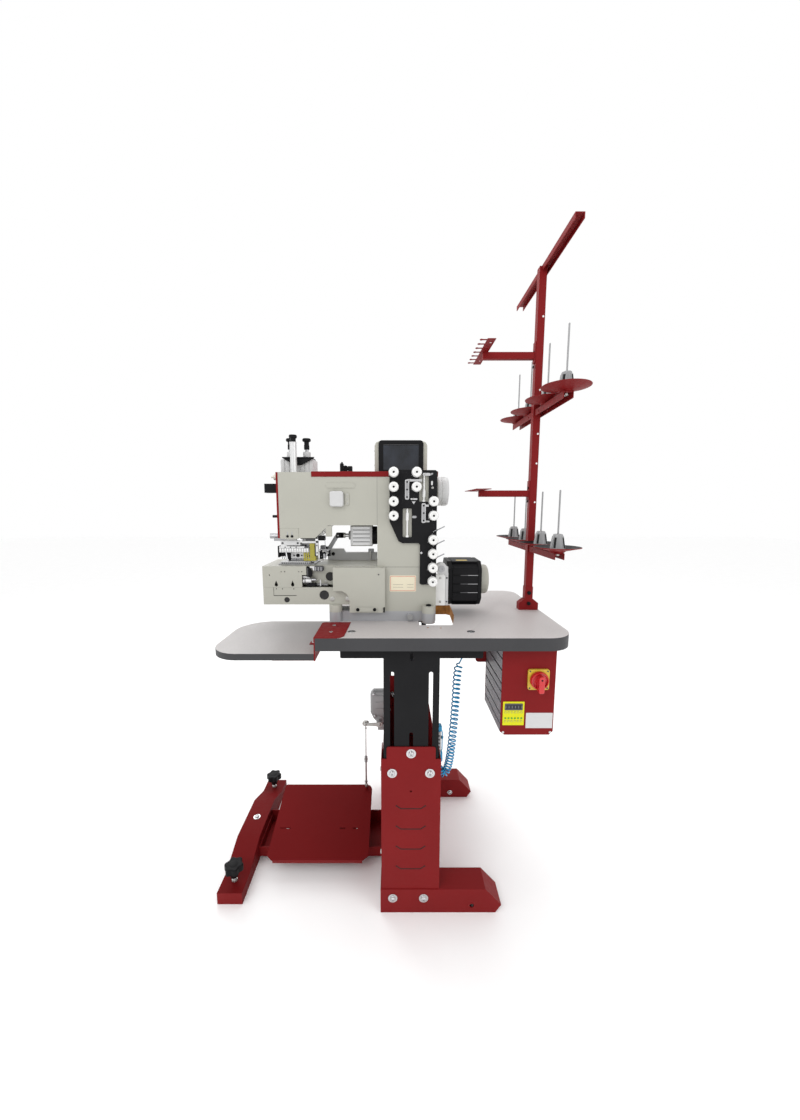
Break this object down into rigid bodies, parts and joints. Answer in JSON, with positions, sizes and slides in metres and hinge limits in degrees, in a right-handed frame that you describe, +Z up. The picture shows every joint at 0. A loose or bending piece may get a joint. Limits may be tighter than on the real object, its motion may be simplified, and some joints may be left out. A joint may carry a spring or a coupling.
{
  "type": "waistband sewing machine",
  "caption": "Multi-needle cylinder-bed sewing machine on a height-adjustable stand with table, thread stand, control box and treadle.",
  "frame": {"origin": "on the floor, under the middle of the whole machine", "axes": "+X to the right of the operator who sits at the machine, +Y away from the operator, +Z up"},
  "size_m": [1.037, 0.591, 1.881],
  "materials": {
    "red_paint": "satin",
    "black_paint": "satin",
    "head_paint": "satin",
    "table_laminate": "matte",
    "steel": "polished",
    "cast_grey": "satin",
    "grey_body": "satin",
    "black_plastic": "satin",
    "white_plastic": "gloss",
    "yellow_plastic": "satin",
    "red_plastic": "gloss",
    "clear_yellow": "gloss",
    "grey_plastic": "satin",
    "blue_hose": "gloss",
    "black_rubber": "matte"
  },
  "bodies": {
    "stand": {"front_foot": "red_paint", "rear_foot": "red_paint", "front_outer_column": "red_paint", "rear_outer_column": "red_paint", "side_panels": "red_paint", "cross_beam": "red_paint", "side_bar": "red_paint", "stand_bolts": "steel", "treadle_hinge": "steel", "treadle_sensor": "grey_body", "air_unit": "grey_body", "air_hose": "blue_hose"},
    "machine": {"front_inner_column": "black_paint", "rear_inner_column": "black_paint", "table_top": "table_laminate", "extension_bracket": "red_paint", "extension_board": "table_laminate", "table_hardware": "steel", "control_box_body": "grey_body", "control_box_cover": "red_paint", "control_box_back": "red_paint", "switch_plate": "yellow_plastic", "keypad": "yellow_plastic", "thread_post": "red_paint", "top_guide_rail": "red_paint", "spool_rails": "red_paint", "spool_discs": "red_paint", "spool_cones": "grey_plastic", "spool_pins": "steel", "guide_arms": "red_paint", "base_plate": "cast_grey", "head_frame": "head_paint", "bed": "head_paint", "top_cover": "red_paint", "face_plate": "red_paint", "column_cover": "head_paint", "bed_cover": "head_paint", "needle_plate": "steel", "finger_guard": "clear_yellow", "thread_plate": "black_paint", "thread_guides": "steel", "tension_knobs": "white_plastic", "display_panel": "black_plastic", "motor": "black_paint", "motor_mount": "steel", "lift_cylinder": "steel", "presser_regulators": "grey_body"},
    "front_knob": {"front_levelling_knob": "black_plastic"},
    "rear_knob": {"rear_levelling_knob": "black_plastic"},
    "treadle": {"treadle_plate": "red_paint"},
    "rod": {"treadle_rod": "steel"},
    "lever": {"sensor_lever": "steel"},
    "switch": {"switch_handle": "red_plastic"},
    "needles": {"needle_bar": "steel"},
    "presser": {"presser_foot": "steel"},
    "wheel": {"handwheel": "grey_plastic"},
    "lifter": {"lift_rod": "steel"},
    "left_screw": {"left_pressure_screw": "black_plastic"},
    "right_screw": {"right_pressure_screw": "black_plastic"},
    "transport": {"transport_wheel": "black_rubber"}
  },
  "joints": [
    {"name": "height_slide", "type": "slide", "parent": "stand", "child": "machine", "axis": [0, 0, 1], "range_m": [-0.05, 0.13], "deforming": ["air_hose"]},
    {"name": "treadle_rock", "type": "hinge", "parent": "stand", "child": "treadle", "pos_m": [-0.2385, -0.053, 0.066], "axis": [1, 0, 0], "range_deg": [-7, 7]},
    {"name": "rod_slide", "type": "slide", "parent": "stand", "child": "rod", "axis": [0, 0, 1], "range_m": [-0.03, 0.03]},
    {"name": "lever_turn", "type": "hinge", "parent": "stand", "child": "lever", "pos_m": [-0.045, 0.10971, 0.387], "axis": [0, 1, 0], "range_deg": [-30, 30]},
    {"name": "front_knob_turn", "type": "hinge", "parent": "stand", "child": "front_knob", "pos_m": [-0.4825, -0.201, 0.06], "axis": [0, 0, 1], "continuous": true},
    {"name": "rear_knob_turn", "type": "hinge", "parent": "stand", "child": "rear_knob", "pos_m": [-0.4825, 0.215, 0.06], "axis": [0, 0, 1], "continuous": true},
    {"name": "transport_roll", "type": "hinge", "parent": "stand", "child": "transport", "pos_m": [0.234, 0.239, 0.022], "axis": [0, 1, 0], "continuous": true},
    {"name": "switch_turn", "type": "hinge", "parent": "machine", "child": "switch", "pos_m": [0.4005, -0.25, 0.71], "axis": [0, 1, 0], "range_deg": [-90, 0]},
    {"name": "wheel_turn", "type": "hinge", "parent": "machine", "child": "wheel", "pos_m": [0.15, -0.055, 1.222], "axis": [1, 0, 0], "continuous": true},
    {"name": "needle_stroke", "type": "slide", "parent": "machine", "child": "needles", "axis": [0, 0, 1], "range_m": [-0.018, 0.012]},
    {"name": "presser_lift", "type": "slide", "parent": "machine", "child": "presser", "axis": [0, 0, 1], "range_m": [0, 0.008], "stiffness_N_per_m": 400, "springref_m": -0.02},
    {"name": "lifter_slide", "type": "slide", "parent": "machine", "child": "lifter", "axis": [1, 0, 0], "range_m": [-0.0105, 0.0005]},
    {"name": "left_screw_turn", "type": "hinge", "parent": "machine", "child": "left_screw", "pos_m": [-0.3015, -0.063, 1.35], "axis": [0, 0, 1], "continuous": true},
    {"name": "right_screw_turn", "type": "hinge", "parent": "machine", "child": "right_screw", "pos_m": [-0.253, -0.063, 1.35], "axis": [0, 0, 1], "continuous": true}
  ],
  "couplings": [
    {"joint": "rod_slide", "follows": "treadle_rock", "m_per_rad": 0.14271},
    {"joint": "lever_turn", "follows": "treadle_rock", "ratio": 2.7444},
    {"joint": "lifter_slide", "follows": "presser_lift", "ratio": -1.25}
  ]
}
